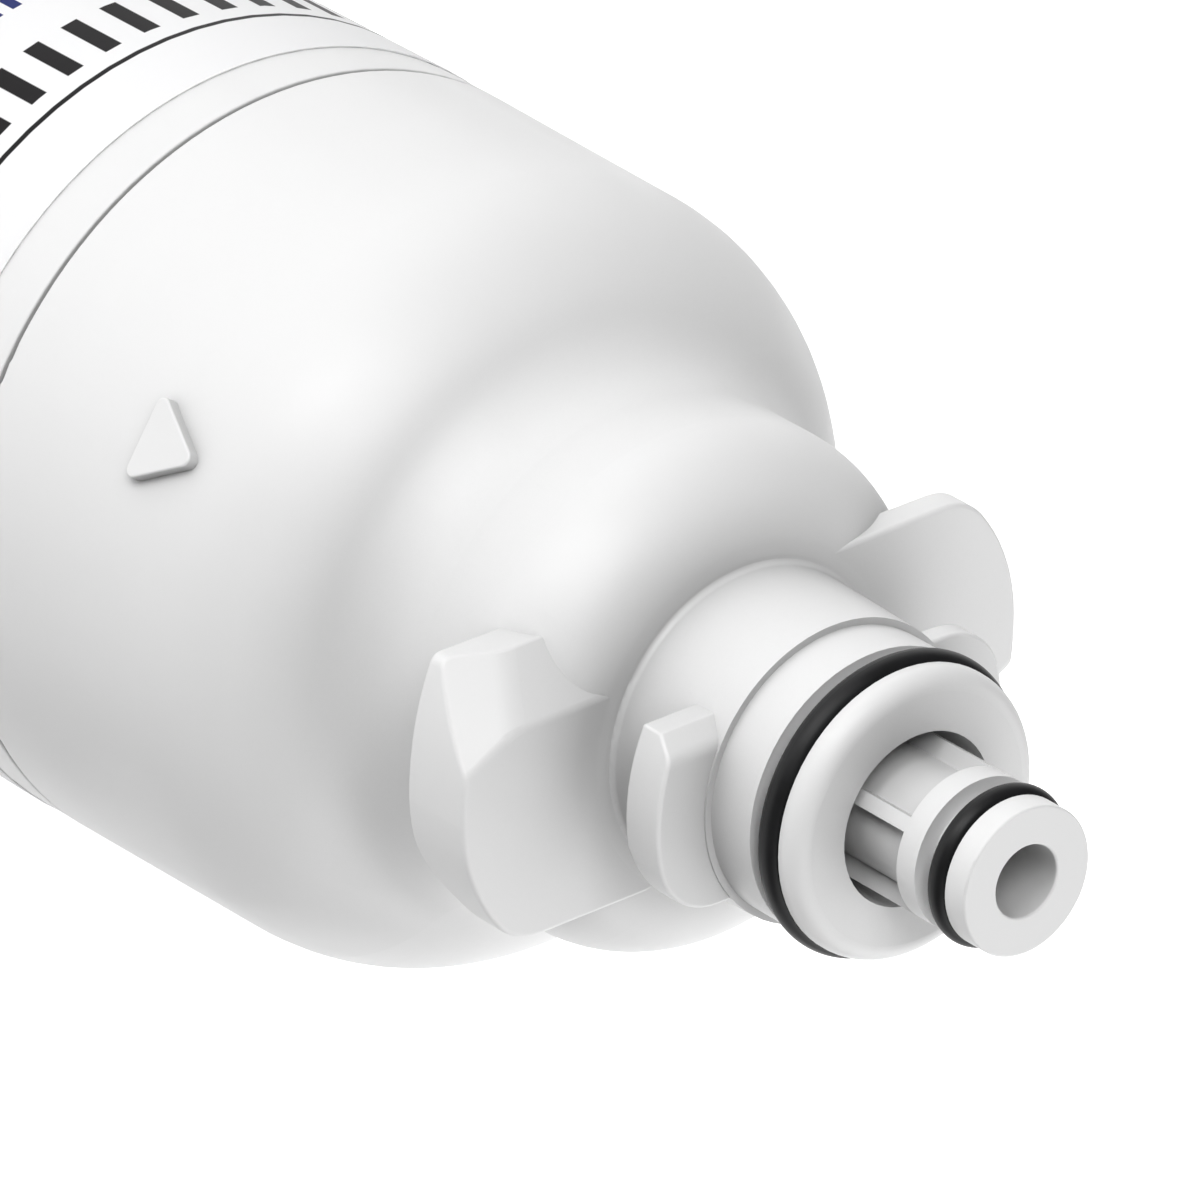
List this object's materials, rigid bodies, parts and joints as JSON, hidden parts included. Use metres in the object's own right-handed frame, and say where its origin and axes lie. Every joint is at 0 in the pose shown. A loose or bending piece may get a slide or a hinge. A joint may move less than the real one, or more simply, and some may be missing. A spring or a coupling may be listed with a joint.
{
  "type": "fridge water filter cartridge",
  "caption": "Twist-in water filter cartridge with a labelled canister, domed cap, bayonet lugs and a sealed outlet spigot.",
  "frame": {"origin": "centre of the canister's flat closed end", "axes": "+Z along the axis from the closed end to the outlet spigot, -Y out through the arrow mark on the cap"},
  "size_m": [0.0712, 0.0717, 0.249],
  "materials": {
    "canister_plastic": "satin white, moulded",
    "cap_plastic": "satin white, moulded",
    "spigot_plastic": "satin white, moulded",
    "seal_rubber": "black, lightly greased",
    "label_film": "white printed film",
    "pressed_carbon": "matt, porous",
    "inner_plastic": "plain, natural",
    "filter_fabric": "non-woven felt",
    "netting_plastic": "plain, natural",
    "hot_glue": "smooth, translucent cream",
    "pad_foam": "closed-cell foam"
  },
  "bodies": {
    "root": {"canister": "canister_plastic", "head_cap": "cap_plastic", "outlet_spigot": "spigot_plastic", "nose_o_ring": "seal_rubber", "spigot_o_ring": "seal_rubber", "nipple_o_ring": "seal_rubber", "wrap_label": "label_film", "carbon_block": "pressed_carbon", "core_tube": "inner_plastic", "post_filter_sleeve": "filter_fabric", "sediment_wrap": "filter_fabric", "outer_netting": "netting_plastic", "upper_end_cap": "inner_plastic", "lower_end_cap": "inner_plastic", "upper_glue_ring": "hot_glue", "lower_glue_ring": "hot_glue", "bottom_pad": "pad_foam"}
  },
  "joints": []
}
